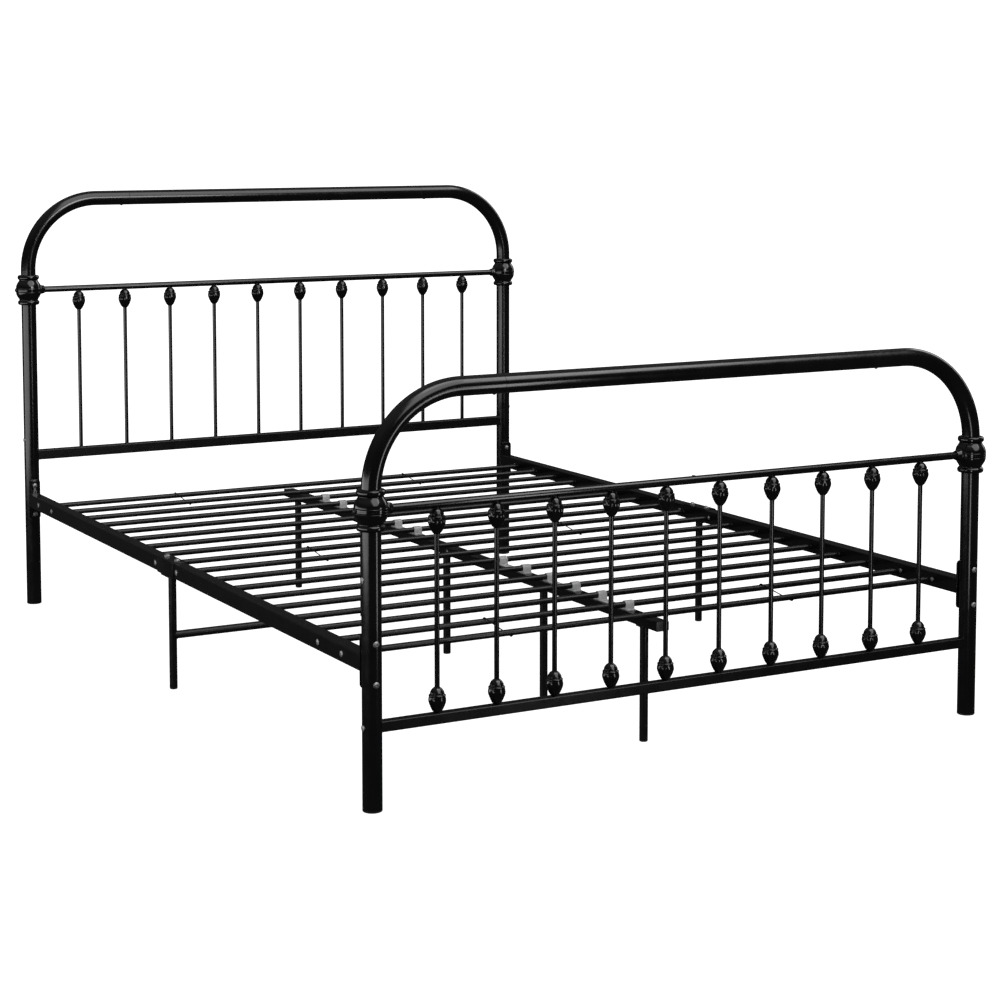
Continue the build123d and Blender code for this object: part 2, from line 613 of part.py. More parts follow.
tabs = []
tab_screws = []
for y in CENTRE_LEG_Y:
    top = BEAM_BOTTOM
    tab = box((CENTRE_LEG_X - LEG_TAB_HALF, y - LEG_TAB_BACK, top - LEG_TAB_T),
              (CENTRE_LEG_X + LEG_TAB_HALF, y + LEG_TAB_REACH, top))
    screw_y = y + LEG_TAB_REACH - TAB_SCREW_IN
    tabs.append(tab - cylinder((CENTRE_LEG_X, screw_y, top), (0, 0, -1), LEG_TAB_T, SMALL_SCREW_R))
    under = (CENTRE_LEG_X, screw_y, top - LEG_TAB_T)
    tab_screws.append(screw(under, (0, 0, -1), SMALL_HEAD_R, SMALL_HEAD_H, SMALL_SCREW_R, LEG_TAB_T))
save("centre_leg_plates", *tabs)
save("centre_leg_screws", *tab_screws)
save("centre_legs", *[leg(CENTRE_LEG_X, y, BEAM_BOTTOM - LEG_TAB_T) for y in CENTRE_LEG_Y])
leg_places = [(CENTRE_LEG_X, y) for y in CENTRE_LEG_Y] + [(-POST_X, 0), (POST_X, 0)]
leg_caps = [foot_cap(x, y, LEG_R, LEG_WALL) for x, y in leg_places]
bar_end = cylinder((CROSSBAR_END_X, 0, CROSSBAR_Z), X_AXIS, CAP_FLANGE, LEG_R)
bar_end += cylinder((CROSSBAR_END_X, 0, CROSSBAR_Z), (-1, 0, 0), CAP_STEM, LEG_R - LEG_WALL)
save("leg_end_caps", *leg_caps, bar_end)


# ---- plastic clips over the slats ----------------------------------------------------------
def clip(pair):
    """A double saddle: a strip along the beam with a seat and a cap round each slat."""
    y_mid = clip_screw_y(pair)
    shell = SLAT_R + CLIP_T
    left = BEAM_X - CLIP_W / 2
    right = BEAM_X + CLIP_W / 2
    reach = SLAT_PITCH / 2 + shell + CLIP_FOOT
    body = box((left, y_mid - reach, BEAM_TOP), (right, y_mid + reach, BEAM_TOP + CLIP_T))
    for k in pair:
        body += cylinder((left, slat_y(k), SLAT_Z), X_AXIS, CLIP_W, shell)
        body += box((left, slat_y(k) - shell, BEAM_TOP), (right, slat_y(k) + shell, SLAT_Z))
    for k in pair:
        body -= cylinder((left, slat_y(k), SLAT_Z), X_AXIS, CLIP_W, SLAT_R)
    return body - cylinder((BEAM_X, y_mid, BEAM_TOP), Z_AXIS, CLIP_T, CLIP_SCREW_R)


save("slat_clips", *[clip(pair) for pair in clip_pairs()])
save("clip_screws", *[
    screw((BEAM_X, clip_screw_y(pair), BEAM_TOP + CLIP_T), Z_AXIS, CLIP_HEAD_R, CLIP_HEAD_H,
          CLIP_SCREW_R, CLIP_SCREW_LENGTH)
    for pair in clip_pairs()])


# ---- wire links between neighbouring slats ---------------------------------------------------
def wire_link(x, pair):
    """A bent wire that hooks under one slat and over the next."""
    hook_r = SLAT_R + LINK_R
    y_a = slat_y(pair[1])
    y_b = slat_y(pair[0])
    rise = asin(2 * hook_r / SLAT_PITCH)
    low_side = (y_a + hook_r * sin(rise), SLAT_Z - hook_r * cos(rise))
    high_side = (y_b - hook_r * sin(rise), SLAT_Z + hook_r * cos(rise))
    diagonal = sqrt(0.5) * hook_r
    start = (x, y_a - hook_r, SLAT_Z)
    path = ThreePointArc(start, (x, y_a - diagonal, SLAT_Z - diagonal), (x, *low_side))
    path += Line((x, *low_side), (x, *high_side))
    path += ThreePointArc((x, *high_side), (x, y_b + diagonal, SLAT_Z + diagonal), (x, y_b + hook_r, SLAT_Z))
    return sweep(Plane(origin=start, z_dir=(0, 0, -1)) * Circle(LINK_R), path)


save("slat_wire_links", *[wire_link(x, pair) for x in LINK_X for pair in LINK_PAIRS])
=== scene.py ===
import json
import math

import bmesh
import bpy
from mathutils import Matrix, Vector


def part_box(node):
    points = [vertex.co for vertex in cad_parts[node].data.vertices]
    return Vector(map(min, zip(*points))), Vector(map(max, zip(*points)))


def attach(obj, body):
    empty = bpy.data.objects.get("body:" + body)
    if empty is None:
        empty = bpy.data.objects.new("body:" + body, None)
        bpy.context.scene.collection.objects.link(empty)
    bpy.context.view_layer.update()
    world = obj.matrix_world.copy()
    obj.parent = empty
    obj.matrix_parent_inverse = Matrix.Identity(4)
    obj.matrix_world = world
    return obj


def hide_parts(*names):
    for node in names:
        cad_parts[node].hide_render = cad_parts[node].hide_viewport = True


# Looks of the metal bed frame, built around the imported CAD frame. Metres, +Z up, +X to
# the right and +Y to the headboard, as in the frame. Lengths below are written in
# millimetres where they describe small hardware, and MM turns them into metres.

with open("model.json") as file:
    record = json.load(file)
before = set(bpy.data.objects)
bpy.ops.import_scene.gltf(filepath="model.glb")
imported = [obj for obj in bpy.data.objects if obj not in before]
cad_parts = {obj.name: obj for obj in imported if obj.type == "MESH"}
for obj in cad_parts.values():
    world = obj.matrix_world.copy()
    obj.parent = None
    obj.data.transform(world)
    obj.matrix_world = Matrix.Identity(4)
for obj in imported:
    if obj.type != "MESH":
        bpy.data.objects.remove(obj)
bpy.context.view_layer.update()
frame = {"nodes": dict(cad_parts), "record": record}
record = frame["record"]
nodes = frame["nodes"]

MM = 0.001
UP = Vector((0, 0, 1))

# Hardware and tube sizes, in millimetres, as in the frame.
POST_R = 19.0
POST_WALL = 1.5
LEG_WALL = 1.2
ROD_R = 8.0
SPINDLE_R = 5.0
SLAT_R = 6.5
CAP_FLANGE = 4.0
CAP_STEM = 14.0
CAP_STEM_WALL = 2.0
FINIAL_HALF = 24.25
PLUG_HEAD_H = 1.5
COVER_T = 2.0
SADDLE_T = 3.0
SADDLE_HALF = 30.0
PLATE_T = 3.0
PLATE_CORNER = 8.0
POST_BOLT_R = 4.0
LEG_SCREW_R = 2.0

SLOT_OF = {part["node"]: part["material_slot"] for part in record["subparts"]}


# ---- materials ------------------------------------------------------------------------
def new_material(name, **sockets):
    """A Principled material with its constant sockets set directly."""
    material = bpy.data.materials.new(name)
    material.use_nodes = True
    shader = material.node_tree.nodes["Principled BSDF"]
    for socket, value in sockets.items():
        shader.inputs[socket.replace("_", " ")].default_value = value
    return material, shader


def add(material, kind, **settings):
    """One shader node with its settings."""
    node = material.node_tree.nodes.new(kind)
    for key, value in settings.items():
        if key in node.inputs:
            node.inputs[key].default_value = value
        else:
            setattr(node, key, value)
    return node


def noise(material, scale, detail=3.0, roughness=0.5, stretch=None):
    """A noise texture in the object's own coordinates, optionally stretched along an axis."""
    place = add(material, "ShaderNodeTexCoord")
    texture = add(material, "ShaderNodeTexNoise")
    texture.inputs["Scale"].default_value = scale
    texture.inputs["Detail"].default_value = detail
    texture.inputs["Roughness"].default_value = roughness
    links = material.node_tree.links
    if stretch is None:
        links.new(place.outputs["Object"], texture.inputs["Vector"])
        return texture.outputs["Fac"]
    mapping = add(material, "ShaderNodeMapping")
    mapping.inputs["Scale"].default_value = stretch
    links.new(place.outputs["Object"], mapping.inputs["Vector"])
    links.new(mapping.outputs["Vector"], texture.inputs["Vector"])
    return texture.outputs["Fac"]


def ramp(material, source, low, high, start=0.0, end=1.0):
    """A number from low to high as the source goes from start to end."""
    span = add(material, "ShaderNodeMapRange")
    span.inputs["From Min"].default_value = start
    span.inputs["From Max"].default_value = end
    span.inputs["To Min"].default_value = low
    span.inputs["To Max"].default_value = high
    material.node_tree.links.new(source, span.inputs["Value"])
    return span.outputs["Result"]


def tint(material, source, dark, light, start=0.35, end=0.65):
    """A colour from dark to light as the source goes from start to end."""
    mix = add(material, "ShaderNodeMix", data_type="RGBA")
    mix.inputs["A"].default_value = (*dark, 1)
    mix.inputs["B"].default_value = (*light, 1)
    factor = ramp(material, source, 0.0, 1.0, start, end)
    material.node_tree.links.new(factor, mix.inputs["Factor"])
    return mix.outputs["Result"]


def bumps(material, shader, *layers):
    """Stacked bump layers, each (height source, depth in metres), into the shader."""
    normal = None
    links = material.node_tree.links
    for source, depth in layers:
        bump = add(material, "ShaderNodeBump")
        bump.inputs["Distance"].default_value = depth
        links.new(source, bump.inputs["Height"])
        if normal is not None:
            links.new(normal, bump.inputs["Normal"])
        normal = bump.outputs["Normal"]
    links.new(normal, shader.inputs["Normal"])


def powder_coat(name, dark, light, rough, peel, speckle, gloss=0.5):
    """Black powder coat: orange-peel waves, fine grain and faint handling marks."""
    material, shader = new_material(name, Metallic=0.0, IOR=1.5, Specular_IOR_Level=gloss)
    links = material.node_tree.links
    broad = noise(material, 9.0, 2.0)
    fine = noise(material, 900.0, 2.0)
    waves = noise(material, 260.0, 1.0, 0.4)
    smudge = noise(material, 32.0, 5.0, 0.62)
    links.new(tint(material, broad, dark, light), shader.inputs["Base Color"])
    links.new(ramp(material, smudge, rough[0], rough[1], 0.3, 0.7), shader.inputs["Roughness"])
    bumps(material, shader, (waves, peel), (fine, speckle))
    return material


def bolt_zinc(name):
    """Bright zinc plating: brushed grain, slight yellow and blue patches, small pits."""
    material, shader = new_material(name, Metallic=1.0)
    links = material.node_tree.links
    patches = noise(material, 420.0, 3.0)
    grain = noise(material, 1500.0, 2.0, 0.5, (1.0, 6.0, 1.0))
    pits = noise(material, 2600.0, 4.0, 0.7)
    colour = tint(material, patches, (0.27, 0.28, 0.30), (0.40, 0.40, 0.39))
    links.new(colour, shader.inputs["Base Color"])
    links.new(ramp(material, grain, 0.46, 0.62), shader.inputs["Roughness"])
    bumps(material, shader, (grain, 0.00004), (pits, 0.00002))
    return material


def raw_steel(name):
    """Uncoated mild steel inside the joints: grey, drawn along its length, a little oily."""
    material, shader = new_material(name, Metallic=1.0)
    links = material.node_tree.links
    drawn = noise(material, 180.0, 4.0, 0.6, (0.1, 1.0, 1.0))
    stains = noise(material, 40.0, 5.0, 0.65)
    links.new(tint(material, stains, (0.20, 0.19, 0.18), (0.33, 0.32, 0.31)), shader.inputs["Base Color"])
    links.new(ramp(material, drawn, 0.32, 0.5), shader.inputs["Roughness"])
    bumps(material, shader, (drawn, 0.00005))
    return material


def moulded(name, dark, light, rough, grain_depth):
    """Moulded plastic: fine spark-eroded grain and slight gloss changes."""
    material, shader = new_material(name, Metallic=0.0, IOR=1.49)
    links = material.node_tree.links
    tone = noise(material, 120.0, 4.0, 0.6)
    grain = noise(material, 2400.0, 2.0)
    links.new(tint(material, tone, dark, light), shader.inputs["Base Color"])
    links.new(ramp(material, grain, rough[0], rough[1]), shader.inputs["Roughness"])
    bumps(material, shader, (grain, grain_depth))
    return material


FINISHES = {
    "black_powder_coat": powder_coat(
        "powder_coat_gloss", (0.0036, 0.0036, 0.0038), (0.0054, 0.0054, 0.0057),
        (0.13, 0.20), 0.00002, 0.000006),
    "slat_black": powder_coat(
        "powder_coat_slats", (0.0040, 0.0040, 0.0042), (0.0064, 0.0064, 0.0066),
        (0.24, 0.34), 0.00002, 0.00001, 0.30),
    "cast_gloss_black": powder_coat(
        "cast_gloss", (0.0036, 0.0036, 0.0038), (0.0054, 0.0054, 0.0057),
        (0.09, 0.15), 0.00003, 0.000006),
    "zinc_fasteners": bolt_zinc("zinc_plate"),
    "black_screws": powder_coat(
        "blackened_screws", (0.008, 0.008, 0.008), (0.016, 0.016, 0.016),
        (0.3, 0.42), 0.00002, 0.00002),
    "bare_steel": raw_steel("drawn_steel"),
    "black_plastic": moulded(
        "polyethylene_black", (0.006, 0.006, 0.006), (0.010, 0.010, 0.010), (0.34, 0.46), 0.00004),
    "grey_plastic": moulded(
        "nylon_grey", (0.46, 0.46, 0.47), (0.56, 0.56, 0.57), (0.38, 0.5), 0.00005),
    "black_wire": powder_coat(
        "wire_black", (0.005, 0.005, 0.005), (0.008, 0.008, 0.008),
        (0.25, 0.35), 0.00002, 0.00001, 0.25),
}
# Painted shade: these tubes have the same gloss coat as the posts, but take the slats' duller finish instead
# of the gloss of the posts, so they reflect less light as if they stood in shade.
PAINTED_SHADE_TUBES = ["left_crossbar", "centre_legs", "side_mid_legs", "footboard_lower_rail", "headboard_lower_rail"]


def dress_cad_nodes():
    """Every carried-over CAD node gets its slot's finish, or the slats' duller finish as painted shade."""
    for name, node in nodes.items():
        node.data.materials.clear()
        node.data.materials.append(FINISHES["slat_black" if name in PAINTED_SHADE_TUBES else SLOT_OF[name]])


# ---- mesh tools ---------------------------------------------------------------------------
def islands(name):
    """The box (low, high) of each separate solid in a CAD node, in order of X, Y and Z."""
    mesh = nodes[name].data
    keys = [tuple(round(c, 6) for c in vertex.co) for vertex in mesh.vertices]
    leader = {key: key for key in keys}

    def find(key):
        while leader[key] != key:
            leader[key] = leader[leader[key]]
            key = leader[key]
        return key

    for polygon in mesh.polygons:
        first = find(keys[polygon.vertices[0]])
        for index in polygon.vertices[1:]:
            leader[find(keys[index])] = first
    boxes = {}
    for key in leader:
        low, high = boxes.setdefault(find(key), (list(key), list(key)))
        for axis in range(3):
            low[axis] = min(low[axis], key[axis])
            high[axis] = max(high[axis], key[axis])
    pairs = [(Vector(low), Vector(high)) for low, high in boxes.values()]
    return sorted(pairs, key=lambda pair: tuple(round(c, 3) for c in pair[0]))


def middle(pair):
    """The centre of a box."""
    return (pair[0] + pair[1]) / 2


def smooth_line(points, steps=4):
    """A rounder outline through the points, by Catmull-Rom interpolation."""
    out = []
    count = len(points)
    for k in range(count - 1):
        before = points[max(k - 1, 0)]
        here = points[k]
        there = points[k + 1]
        after = points[min(k + 2, count - 1)]
        for step in range(steps):
            t = step / steps
            out.append(tuple(
                0.5 * (2 * b + (c - a) * t + (2 * a - 5 * b + 4 * c - d) * t * t
                       + (3 * b - a - 3 * c + d) * t ** 3)
                for a, b, c, d in zip(before, here, there, after)))
    out.append(points[-1])
    return out


def arc(centre, radius, start, end, steps=6):
    """Points on an arc, angles in degrees."""
    angles = [math.radians(start + (end - start) * k / steps) for k in range(steps + 1)]
    return [(centre[0] + radius * math.cos(a), centre[1] + radius * math.sin(a)) for a in angles]


def turned(profile, around=48, shape=None, closed=False):
    """A turned shape from (radius, height) points in mm, as (vertices, faces) in metres.

    shape(angle, height) scales the radius, for lobes and flutes. A radius of 0 is a pole.
    """
    vertices = []
    rings = []
    for radius, height in profile:
        if radius == 0:
            rings.append([len(vertices)] * around)
            vertices.append((0, 0, height * MM))
            continue
        rings.append([len(vertices) + k for k in range(around)])
        for k in range(around):
            angle = 2 * math.pi * k / around
            r = radius * MM * (shape(angle, height) if shape else 1.0)
            vertices.append((r * math.cos(angle), r * math.sin(angle), height * MM))
    pairs = list(zip(rings, rings[1:]))
    if closed:
        pairs.append((rings[-1], rings[0]))
    faces = []
    for lower, upper in pairs:
        for k in range(around):
            n = (k + 1) % around
            face = [lower[k], lower[n], upper[n], upper[k]]
            face = [v for i, v in enumerate(face) if v != face[i - 1]]
            if len(face) > 2:
                faces.append(face)
    return vertices, faces


def hexagon(across):
    """The radius of a hexagon at an angle, from its width across flats."""
    def radius(angle):
        return across / 2 / math.cos((angle + math.pi / 6) % (math.pi / 3) - math.pi / 6)
    return radius


def cross(arm, half_width):
    """The radius of a cross recess at an angle."""
    def radius(angle):
        c = max(abs(math.cos(angle)), 1e-6)
        s = max(abs(math.sin(angle)), 1e-6)
        return max(min(arm / c, half_width / s), min(half_width / c, arm / s))
    return radius


def head(radius, height, recess, depth, seat=None, rim_share=0.35, around=72):
    """A domed screw head in mm standing on z = 0, with a recess cut in its top.

    With a seat radius, its underside follows an upright tube of that radius.
    """
    rim = height * rim_share

    def sag(angle):
        return seat - math.sqrt(seat ** 2 - (radius * math.cos(angle)) ** 2) if seat else 0.0

    rings = [lambda a: (radius - 0.15, -sag(a)), lambda a: (radius, 0.15 - sag(a)), lambda a: (radius, rim)]

    def dome(r):
        return rim + (height - rim) * (1 - (r / radius) ** 2)

    def between(share):
        def ring(angle):
            r = radius + (recess(angle) * 1.06 - radius) * share
            return r, dome(r)
        return ring

    rings += [between(share / 6) for share in range(1, 7)]
    rings.append(lambda a: (recess(a), dome(recess(a)) - 0.06 * height))
    rings.append(lambda a: (recess(a) * 0.93, dome(0) - depth))
    vertices = []
    for ring in rings:
        for k in range(around):
            angle = 2 * math.pi * k / around
            r, z = ring(angle)
            vertices.append((r * MM * math.cos(angle), r * MM * math.sin(angle), z * MM))
    faces = []
    for level in range(len(rings) - 1):
        for k in range(around):
            n = (k + 1) % around
            a = level * around
            faces.append([a + k, a + n, a + around + n, a + around + k])
    last = (len(rings) - 1) * around
    centre = len(vertices)
    vertices.append((0, 0, (dome(0) - depth * 1.15) * MM))
    vertices.append((0, 0, 0))
    faces += [[last + k, last + (k + 1) % around, centre] for k in range(around)]
    faces += [[(k + 1) % around, k, centre + 1] for k in range(around)]
    return vertices, faces


def shank(radius, length, thread_from=None):
    """A bolt's shank below its head, in mm, with a rolled thread when asked for."""
    profile = [(0, -length), (radius * 0.7, -length), (radius * 0.96, -length + 0.8)]
    if thread_from is not None:
        pitch = 1.0
        z = -length + 1.2
        while z < -thread_from:
            profile += [(radius * 0.88, z), (radius, z + pitch * 0.5)]
            z += pitch
    profile += [(radius, profile[-1][1] + 0.4), (radius, 0), (0, 0)]
    return turned(profile, 24)


def acorn_nut(radius, height, bore_radius):
    """A domed nut in mm: a hexagonal base with chamfered corners and a dome over it."""
    flats = hexagon(2 * radius * math.cos(math.pi / 6))
    base = height * 0.5
    around = 72

    def shape(angle, z):
        return flats(angle) / radius if 0.15 * height < z < base * 0.93 else 1.0

    chamfer = radius * math.cos(math.pi / 6) * 0.99
    bore_depth = 0.45 * height
    profile = [(0, bore_depth), (bore_radius, bore_depth), (bore_radius, 0), (chamfer, 0)]
    profile += [(radius, 0.17 * height), (radius, base * 0.9)]
    profile += [(chamfer, base), (chamfer * 0.86, base * 1.02)]
    dome = [(chamfer * 0.86 * math.cos(a), base * 1.02 + (height - base * 1.02) * math.sin(a))
            for a in [math.radians(x) for x in (20, 40, 60, 78)]]
    profile += dome + [(0, height)]
    return turned(profile, around, shape)


def bead(points, radius, seed, closed=True, sides=7):
    """A weld bead along points in metres: a lumpy round cord with overlapping ripples."""
    count = len(points)
    vertices = []
    for k, point in enumerate(points):
        ahead = points[(k + 1) % count] if closed or k < count - 1 else point
        behind = points[k - 1] if closed or k > 0 else point
        along = (Vector(ahead) - Vector(behind)).normalized()
        side = along.cross(Vector((0.31, 0.17, 0.93))).normalized()
        out = along.cross(side)
        swell = 1 + 0.13 * math.sin(k * 1.9 + seed) + 0.09 * math.sin(k * 0.7 + 2.3 * seed)
        for j in range(sides):
            a = 2 * math.pi * j / sides
            vertices.append(tuple(Vector(point) + radius * swell * (math.cos(a) * side + math.sin(a) * out)))
    faces = []
    for k in range(count if closed else count - 1):
        n = (k + 1) % count
        for j in range(sides):
            i = (j + 1) % sides
            faces.append([k * sides + j, k * sides + i, n * sides + i, n * sides + j])
    if not closed:
        faces.append(list(range(sides))[::-1])
        faces.append([(count - 1) * sides + j for j in range(sides)])
    return vertices, faces


def sheet_cut(outline, holes, thickness, ease):
    """A flat plate from a 2-D outline and holes, all in metres, its edges eased."""
    curve = bpy.data.curves.new("cut", "CURVE")
    curve.dimensions = "2D"
    curve.fill_mode = "BOTH"
    curve.extrude = thickness / 2 - ease
    curve.bevel_depth = ease
    curve.bevel_resolution = 2
    curve.offset = -ease
    for loop in [outline, *holes]:
        spline = curve.splines.new("POLY")
        spline.points.add(len(loop) - 1)
        for point, (x, y) in zip(spline.points, loop):
            point.co = (x, y, 0, 1)
        spline.use_cyclic_u = True
    cut = bpy.data.objects.new("cut", curve)
    bpy.context.scene.collection.objects.link(cut)
    bpy.context.view_layer.update()
    mesh = bpy.data.meshes.new_from_object(cut.evaluated_get(bpy.context.evaluated_depsgraph_get()))
    shape = ([tuple(v.co) for v in mesh.vertices], [list(p.vertices) for p in mesh.polygons])
    bpy.data.objects.remove(cut)
    bpy.data.curves.remove(curve)
    bpy.data.meshes.remove(mesh)
    return shape


def rounded_rectangle(low, high, corner, steps=5):
    """The outline of a rectangle with round corners, anticlockwise."""
    points = []
    corners = ((high[0], high[1], 0), (low[0], high[1], 90), (low[0], low[1], 180), (high[0], low[1], 270))
    for x, y, start in corners:
        cx = x - corner if x == high[0] else x + corner
        cy = y - corner if y == high[1] else y + corner
        points += arc((cx, cy), corner, start, start + 90, steps)
    return points


def circle(centre, radius, steps=28):
    """A round hole's outline."""
    return arc(centre, radius, 0, 360 * (steps - 1) / steps, steps - 1)


def towards(axis, place):
    """The matrix that puts a shape made along +Z at a place, pointing along an axis."""
    return Matrix.Translation(place) @ Vector(axis).to_track_quat("Z", "Y").to_matrix().to_4x4()


def piece(name, slot, placed, stands_for=(), crease=35.0):
    """One visible piece of the bed: every (shape, matrix) in one mesh, in its slot's finish."""
    mesh = bpy.data.meshes.new(name)
    build = bmesh.new()
    for (vertices, faces), matrix in placed:
        made = [build.verts.new(matrix @ Vector(v)) for v in vertices]
        for face in faces:
            build.faces.new([made[i] for i in face])
    bmesh.ops.remove_doubles(build, verts=build.verts, dist=1e-7)
    bmesh.ops.recalc_face_normals(build, faces=build.faces)
    build.to_mesh(mesh)
    build.free()
    mesh.shade_smooth()
    mesh.set_sharp_from_angle(angle=math.radians(crease))
    mesh.materials.append(FINISHES[slot])
    made = bpy.data.objects.new(name, mesh)
    bpy.context.scene.collection.objects.link(made)
    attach(made, "root")
    if stands_for:
        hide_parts(*stands_for)
    return made


STILL = Matrix.Identity(4)


# ---- headboard and footboard castings --------------------------------------------------------
def finial_shape():
    """A cast finial: a dome, a groove, a raised ring, then eight lobes that taper down."""
    half = FINIAL_HALF
    outer = smooth_line([
        (5.9, half), (8.4, 22.6), (11.0, 19.8), (12.9, 16.4), (13.8, 13.9), (13.1, 12.3), (13.6, 11.2),
        (15.7, 10.4), (16.4, 8.7), (15.9, 6.6), (16.6, 4.2), (17.4, 0.6), (17.1, -3.0), (16.1, -6.6),
        (14.7, -10.4), (12.9, -14.4), (10.6, -18.6), (8.6, -21.4), (6.8, -22.6), (6.6, -23.6),
        (5.6, -half)], 3)
    profile = [(5.0, half)] + outer + [(5.0, -half)]

    def lobes(angle, height):
        """Eight round lobes with narrow valleys, strongest at the waist."""
        if height > 6.0 or height < -22.0:
            return 1.0
        rise = min((6.0 - height) / 5.0, (height + 22.0) / 9.0, 1.0)
        valley = 1 - abs(math.cos(4 * angle)) ** 0.55
        return 1 - 0.10 * rise * valley

    return turned(profile, 80, lobes, closed=True)


def knuckle_shape():
    """The cast ball round the post: two collars, a round body and three fine belt lines."""
    half = smooth_line([
        (22.4, 38.8), (25.2, 38.2), (27.0, 36.4), (27.7, 33.4), (27.4, 30.2), (25.8, 27.9)], 4)
    half += smooth_line([
        (24.1, 26.6), (24.0, 25.4), (24.8, 23.6), (26.4, 21.0), (28.4, 18.0), (30.2, 14.6), (31.4, 11.2),
        (32.1, 7.6)], 4)
    half += [(32.3, 5.6), (32.0, 5.2), (32.0, 4.8), (32.35, 4.4), (32.4, 2.4), (32.4, 0.5), (32.05, 0.2)]
    outer = half + [(r, -h) for r, h in reversed(half)]
    profile = [(19.15, 39.0), (21.0, 39.0)] + outer + [(21.0, -39.0), (19.15, -39.0)]
    return turned(profile, 96, closed=True)


def boss_shape():
    """The flared socket that the rod enters, from inside the ball outwards."""
    profile = [(8.0, 27.0), (17.0, 27.0)] + smooth_line([
        (15.2, 29.4), (13.0, 31.4), (11.8, 34.0), (11.0, 37.6), (10.3, 41.2)], 3)
    profile += [(9.8, 42.0), (8.0, 42.0)]
    return turned(profile, 56, closed=True)


def button_shape():
    """The round plug in the side of a cast ball, with a thin rim."""
    profile = [(0, 30.0), (4.9, 30.0), (4.9, 33.4), (5.0, 33.6), (5.0, 34.4), (4.7, 34.9), (4.3, 35.1)]
    profile += [(3.9, 35.6), (2.7, 36.2), (1.3, 36.45), (0, 36.5)]
    return turned(profile, 40)


def castings():
    """Finials, cast balls and their buttons."""
    finial = finial_shape()
    for end, place in (("headboard", "top"), ("footboard", "top"), ("footboard", "bottom")):
        node = end + "_" + place + "_finials"
        placed = [(finial, Matrix.Translation(middle(box))) for box in islands(node)]
        piece("finials_" + end + "_" + place, SLOT_OF[node], placed, [node], 40.0)
    ball = knuckle_shape()
    boss = boss_shape()
    button = button_shape()
    buttons = []
    for end in ("headboard", "footboard"):
        height = middle(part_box(end + "_upper_rod")).z
        for side, sign in (("left", -1), ("right", 1)):
            node = end + "_" + side + "_knuckle"
            post = middle(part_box(end + "_" + side + "_post"))
            centre = Vector((post.x, post.y, height))
            placed = [(ball, Matrix.Translation(centre)), (boss, towards((-sign, 0, 0), centre))]
            piece("knuckle_" + end + "_" + side, SLOT_OF[node], placed, [node], 40.0)
            buttons.append((button, towards((sign, 0, 0), centre)))
    piece("buttons", SLOT_OF["knuckle_buttons"], buttons, ["knuckle_buttons"])


# ---- feet, caps and plugs ------------------------------------------------------------------------
def foot_shape(radius, flange=CAP_FLANGE):
    """A moulded tube foot: eased sole with a shallow ring, and a fine line under the tube."""
    ease = 2.4
    sole = [(0, 0.5), (radius * 0.45, 0.5), (radius * 0.5, 0.0), (radius - ease, 0.0)]
    side = arc((radius - ease, ease), ease, -90, 0, 8)
    top = [(radius, flange - 0.45), (radius - 0.4, flange - 0.1), (radius - 1.4, flange), (0, flange)]
    return turned(sole + side[1:] + top, 56)


def stem_shape(radius, start, length):
    """The hollow stem that presses into the tube."""
    bore = radius - CAP_STEM_WALL
    return turned([(radius, start), (radius, start + length), (bore, start + length), (bore, start)],
                  40, closed=True)


def feet():
    """The plastic feet of the posts and legs, and the end cap of the crossbar."""
    placed = []
    for low, high in islands("post_foot_caps"):
        radius = (high.x - low.x) / 2 / MM
        spot = Matrix.Translation((middle((low, high)).x, middle((low, high)).y, low.z))
        placed += [(foot_shape(radius), spot), (stem_shape(radius - POST_WALL, 3.5, CAP_STEM), spot)]
    piece("feet_posts", SLOT_OF["post_foot_caps"], placed, ["post_foot_caps"])
    placed = []
    for low, high in islands("leg_end_caps"):
        centre = middle((low, high))
        if low.z < MM:
            radius = (high.x - low.x) / 2 / MM
            spot = Matrix.Translation((centre.x, centre.y, low.z))
        else:
            radius = (high.z - low.z) / 2 / MM
            spot = towards((-1, 0, 0), (high.x, centre.y, centre.z))
        placed += [(foot_shape(radius), spot), (stem_shape(radius - LEG_WALL, 3.5, CAP_STEM), spot)]
    piece("feet_legs", SLOT_OF["leg_end_caps"], placed, ["leg_end_caps"])


def plugs():
    """The drain plugs and the end plugs of the centre beam."""
    shape = turned([(0, -4.0), (1.9, -4.0), (2.5, -3.0), (2.5, 0), (3.8, 0), (4.0, 0.25), (3.9, 0.7),
                    (3.2, 1.15), (1.8, 1.42), (0, 1.5)], 32)
    placed = []
    for low, high in islands("drain_plugs"):
        centre = middle((low, high))
        upward = high.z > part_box("footboard_upper_rod")[1].z
        face = high.z - PLUG_HEAD_H * MM if upward else low.z + PLUG_HEAD_H * MM
        placed.append((shape, towards((0, 0, 1 if upward else -1), (centre.x, centre.y, face))))
    piece("plugs_drain", SLOT_OF["drain_plugs"], placed, ["drain_plugs"])
    placed = []
    for low, high in islands("beam_end_plugs"):
        end = 1 if high.y > 0 else -1
        centre = middle((low, high))
        tip = high.y if end > 0 else low.y
        half_x = (high.x - low.x) / 2
        half_z = (high.z - low.z) / 2
        outline = rounded_rectangle((-half_x, -half_z), (half_x, half_z), 2.4 * MM)
        flange = sheet_cut(outline, [], 2 * MM, 0.7 * MM)
        inner = rounded_rectangle((-half_x * 0.87, -half_z * 0.8), (half_x * 0.87, half_z * 0.8), MM)
        stem = sheet_cut(inner, [], 12 * MM, 0.4 * MM)
        turn = Matrix.Rotation(math.radians(90), 4, "X")
        placed.append((flange, Matrix.Translation((centre.x, tip - end * MM, centre.z)) @ turn))
        placed.append((stem, Matrix.Translation((centre.x, tip - end * 8 * MM, centre.z)) @ turn))
    piece("plugs_beam", SLOT_OF["beam_end_plugs"], placed, ["beam_end_plugs"])


